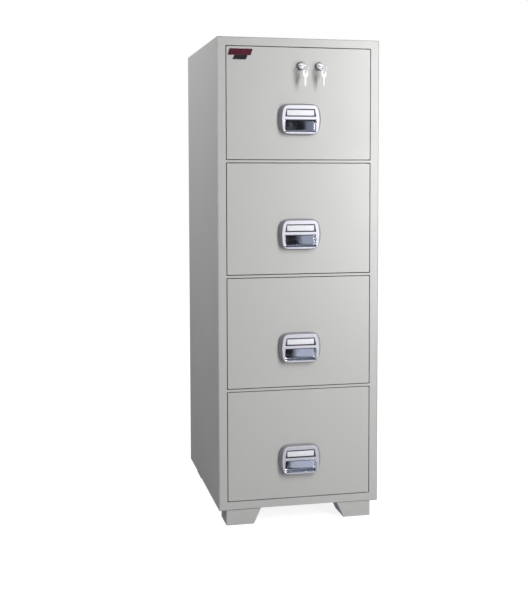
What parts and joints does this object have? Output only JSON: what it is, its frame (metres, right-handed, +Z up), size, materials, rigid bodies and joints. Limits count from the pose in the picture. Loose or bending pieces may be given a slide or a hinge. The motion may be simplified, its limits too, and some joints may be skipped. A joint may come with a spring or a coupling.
{
  "type": "metal filing cabinet",
  "caption": "Tall fire-resistant metal filing cabinet with insulated walls, four lockable full-width drawers on telescopic slides and four feet.",
  "frame": {"origin": "middle of the whole footprint (keys included), on the floor", "axes": "+Z up; the drawers open towards -Y; +X to the right of someone facing the drawers"},
  "size_m": [0.505, 0.679, 1.488],
  "materials": {
    "body_paint": "satin",
    "inner_paint": "satin",
    "zinc_steel": "satin",
    "satin_alloy": "satin",
    "chrome_plate": "polished",
    "nickel_steel": "polished",
    "mineral_fill": "matte",
    "badge_enamel": "gloss"
  },
  "bodies": {
    "cabinet": {"outer_shell": "body_paint", "back_panel": "body_paint", "base_panel": "body_paint", "front_frame": "body_paint", "insulation_core": "mineral_fill", "compartment_liner_1": "inner_paint", "compartment_liner_2": "inner_paint", "compartment_liner_3": "inner_paint", "compartment_liner_4": "inner_paint", "foot_front_left": "body_paint", "foot_front_right": "body_paint", "foot_back_left": "body_paint", "foot_back_right": "body_paint", "cabinet_slide_1_left": "zinc_steel", "cabinet_slide_1_right": "zinc_steel", "cabinet_slide_2_left": "zinc_steel", "cabinet_slide_2_right": "zinc_steel", "cabinet_slide_3_left": "zinc_steel", "cabinet_slide_3_right": "zinc_steel", "cabinet_slide_4_left": "zinc_steel", "cabinet_slide_4_right": "zinc_steel"},
    "middle_slides_1": {"middle_slide_1_left": "zinc_steel", "middle_slide_1_right": "zinc_steel"},
    "middle_slides_2": {"middle_slide_2_left": "zinc_steel", "middle_slide_2_right": "zinc_steel"},
    "middle_slides_3": {"middle_slide_3_left": "zinc_steel", "middle_slide_3_right": "zinc_steel"},
    "middle_slides_4": {"middle_slide_4_left": "zinc_steel", "middle_slide_4_right": "zinc_steel"},
    "drawer_1": {"drawer_front_1": "body_paint", "head_insulation_1": "mineral_fill", "drawer_box_1": "inner_paint", "handle_bezel_1": "satin_alloy", "handle_cup_1": "chrome_plate", "lock_barrel_1": "chrome_plate", "lock_barrel_2": "chrome_plate", "badge_plate": "badge_enamel"},
    "drawer_2": {"drawer_front_2": "body_paint", "head_insulation_2": "mineral_fill", "drawer_box_2": "inner_paint", "handle_bezel_2": "satin_alloy", "handle_cup_2": "chrome_plate"},
    "drawer_3": {"drawer_front_3": "body_paint", "head_insulation_3": "mineral_fill", "drawer_box_3": "inner_paint", "handle_bezel_3": "satin_alloy", "handle_cup_3": "chrome_plate"},
    "drawer_4": {"drawer_front_4": "body_paint", "head_insulation_4": "mineral_fill", "drawer_box_4": "inner_paint", "handle_bezel_4": "satin_alloy", "handle_cup_4": "chrome_plate"},
    "lock_1": {"lock_plug_1": "nickel_steel", "lock_key_1": "nickel_steel"},
    "lock_2": {"lock_plug_2": "nickel_steel", "lock_key_2": "nickel_steel"},
    "hanging_key_1": {"key_ring_1": "nickel_steel", "spare_key_1": "nickel_steel"},
    "hanging_key_2": {"key_ring_2": "nickel_steel", "spare_key_2": "nickel_steel"}
  },
  "joints": [
    {"name": "drawer_1_slide", "type": "slide", "parent": "cabinet", "child": "drawer_1", "axis": [0, -1, 0], "range_m": [0, 0.45]},
    {"name": "drawer_2_slide", "type": "slide", "parent": "cabinet", "child": "drawer_2", "axis": [0, -1, 0], "range_m": [0, 0.45]},
    {"name": "drawer_3_slide", "type": "slide", "parent": "cabinet", "child": "drawer_3", "axis": [0, -1, 0], "range_m": [0, 0.45]},
    {"name": "drawer_4_slide", "type": "slide", "parent": "cabinet", "child": "drawer_4", "axis": [0, -1, 0], "range_m": [0, 0.45]},
    {"name": "middle_slides_1_slide", "type": "slide", "parent": "cabinet", "child": "middle_slides_1", "axis": [0, -1, 0], "range_m": [0, 0.225]},
    {"name": "middle_slides_2_slide", "type": "slide", "parent": "cabinet", "child": "middle_slides_2", "axis": [0, -1, 0], "range_m": [0, 0.225]},
    {"name": "middle_slides_3_slide", "type": "slide", "parent": "cabinet", "child": "middle_slides_3", "axis": [0, -1, 0], "range_m": [0, 0.225]},
    {"name": "middle_slides_4_slide", "type": "slide", "parent": "cabinet", "child": "middle_slides_4", "axis": [0, -1, 0], "range_m": [0, 0.225]},
    {"name": "lock_1_turn", "type": "hinge", "parent": "drawer_1", "child": "lock_1", "pos_m": [0.0055, -0.30951, 1.405], "axis": [0, 1, 0], "range_deg": [0, 90]},
    {"name": "lock_2_turn", "type": "hinge", "parent": "drawer_1", "child": "lock_2", "pos_m": [0.0625, -0.30951, 1.405], "axis": [0, 1, 0], "range_deg": [0, 90]},
    {"name": "hanging_key_1_swing", "type": "hinge", "parent": "drawer_1", "child": "hanging_key_1", "pos_m": [0.0055, -0.32761, 1.405], "axis": [0, 1, 0], "range_deg": [-3, 4]},
    {"name": "hanging_key_2_swing", "type": "hinge", "parent": "drawer_1", "child": "hanging_key_2", "pos_m": [0.0625, -0.32761, 1.405], "axis": [0, 1, 0], "range_deg": [-3, 4]}
  ],
  "couplings": [
    {"joint": "middle_slides_1_slide", "follows": "drawer_1_slide", "ratio": 0.5},
    {"joint": "middle_slides_2_slide", "follows": "drawer_2_slide", "ratio": 0.5},
    {"joint": "middle_slides_3_slide", "follows": "drawer_3_slide", "ratio": 0.5},
    {"joint": "middle_slides_4_slide", "follows": "drawer_4_slide", "ratio": 0.5}
  ]
}
